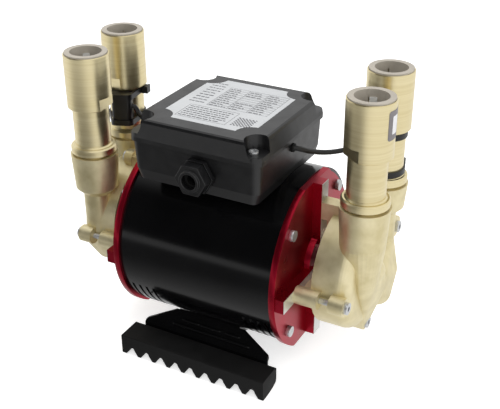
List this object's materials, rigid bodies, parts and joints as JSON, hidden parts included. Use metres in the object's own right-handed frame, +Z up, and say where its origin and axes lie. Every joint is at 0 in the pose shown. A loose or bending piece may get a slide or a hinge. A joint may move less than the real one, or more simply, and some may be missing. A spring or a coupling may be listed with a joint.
{
  "type": "shower pump",
  "caption": "Twin-impeller shower pump: round motor on a bracket with rubber feet, a brass pump head with push-in pipe sockets at each end, terminal box on top.",
  "frame": {"origin": "centre of the pump's footprint, on the surface that it stands on", "axes": "+X along the motor's axis towards the right-hand pump head, +Y to the back, +Z up along the pipe sockets; the cable gland faces -Y"},
  "size_m": [0.2474, 0.1432, 0.2185],
  "materials": {
    "black_shell": "semi-gloss black paint",
    "red_shield": "satin red coating, bare metal on the ribs",
    "laminations": "stacked sheet",
    "copper_winding": "varnished copper wire",
    "zinc_steel": "zinc plated",
    "ground_steel": "ground",
    "cast_brass": "shot-blasted casting",
    "turned_brass": "satin turned",
    "grey_polymer": "satin",
    "black_polymer": "satin",
    "black_rubber": "matte",
    "cord_pvc": "satin",
    "seat_ceramic": "lapped",
    "label_foil": "satin foil",
    "board_green": "coated board",
    "terminal_grey": "satin",
    "capacitor_can": "satin"
  },
  "bodies": {
    "housing": {"motor_shell": "black_shell", "end_shield_right": "red_shield", "end_shield_left": "red_shield", "stator_core": "laminations", "stator_windings": "copper_winding", "through_bolts": "zinc_steel", "through_nuts": "zinc_steel", "bearing_outer_rings": "ground_steel", "bearing_balls": "ground_steel", "head_casting_right": "cast_brass", "head_casting_left": "cast_brass", "back_plate_right": "cast_brass", "back_plate_left": "cast_brass", "head_orings": "black_rubber", "head_screws": "zinc_steel", "seal_seats": "seat_ceramic", "coupler_rear_right": "turned_brass", "coupler_rear_left": "turned_brass", "grab_rings_rear": "ground_steel", "seals_rear": "black_rubber", "retaining_rings": "zinc_steel", "float_stops": "zinc_steel", "reed_switch_right": "black_polymer", "reed_switch_left": "black_polymer", "switch_ties": "black_polymer", "switch_lead_right": "cord_pvc", "switch_lead_left": "cord_pvc", "terminal_box_base": "black_polymer", "terminal_box_lid": "black_polymer", "lid_gasket": "black_rubber", "lid_screws": "zinc_steel", "lid_label": "label_foil", "gland_body": "black_polymer", "gland_nut": "black_polymer", "gland_seal": "black_rubber", "lead_grommets": "black_rubber", "control_board": "board_green", "terminal_block": "terminal_grey", "capacitor": "capacitor_can", "mounting_bracket": "black_shell", "rubber_feet": "black_rubber", "bracket_screws": "zinc_steel"},
    "rotor": {"shaft": "ground_steel", "rotor_core": "laminations", "bearing_inner_rings": "ground_steel", "impeller_right": "grey_polymer", "impeller_left": "grey_polymer", "seal_heads": "black_rubber"},
    "swivel_front_right": {"coupler_front_right": "turned_brass", "grab_ring_front_right": "ground_steel", "seals_front_right": "black_rubber"},
    "swivel_front_left": {"coupler_front_left": "turned_brass", "grab_ring_front_left": "ground_steel", "seals_front_left": "black_rubber"},
    "release_front_right": {"collet_front_right": "grey_polymer"},
    "release_front_left": {"collet_front_left": "grey_polymer"},
    "release_rear_right": {"collet_rear_right": "grey_polymer"},
    "release_rear_left": {"collet_rear_left": "grey_polymer"},
    "float_right": {"flow_float_right": "black_polymer"},
    "float_left": {"flow_float_left": "black_polymer"}
  },
  "joints": [
    {"name": "rotor_spin", "type": "hinge", "parent": "housing", "child": "rotor", "pos_m": [0, 0, 0.0815], "axis": [1, 0, 0], "continuous": true},
    {"name": "swivel_front_right", "type": "hinge", "parent": "housing", "child": "swivel_front_right", "pos_m": [0.1065, -0.02, 0.1415], "axis": [0, 0, 1], "continuous": true},
    {"name": "swivel_front_left", "type": "hinge", "parent": "housing", "child": "swivel_front_left", "pos_m": [-0.099, -0.034, 0.1415], "axis": [0, 0, 1], "continuous": true},
    {"name": "release_front_right", "type": "slide", "parent": "swivel_front_right", "child": "release_front_right", "axis": [0, 0, -1], "range_m": [0, 0.002], "stiffness_N_per_m": 2000},
    {"name": "release_rear_right", "type": "slide", "parent": "housing", "child": "release_rear_right", "axis": [0, 0, -1], "range_m": [0, 0.002], "stiffness_N_per_m": 2000},
    {"name": "release_front_left", "type": "slide", "parent": "swivel_front_left", "child": "release_front_left", "axis": [0, 0, -1], "range_m": [0, 0.002], "stiffness_N_per_m": 2000},
    {"name": "release_rear_left", "type": "slide", "parent": "housing", "child": "release_rear_left", "axis": [0, 0, -1], "range_m": [0, 0.002], "stiffness_N_per_m": 2000},
    {"name": "float_right", "type": "slide", "parent": "housing", "child": "float_right", "axis": [0, 0, 1], "range_m": [0, 0.008]},
    {"name": "float_left", "type": "slide", "parent": "housing", "child": "float_left", "axis": [0, 0, 1], "range_m": [0, 0.008]}
  ]
}
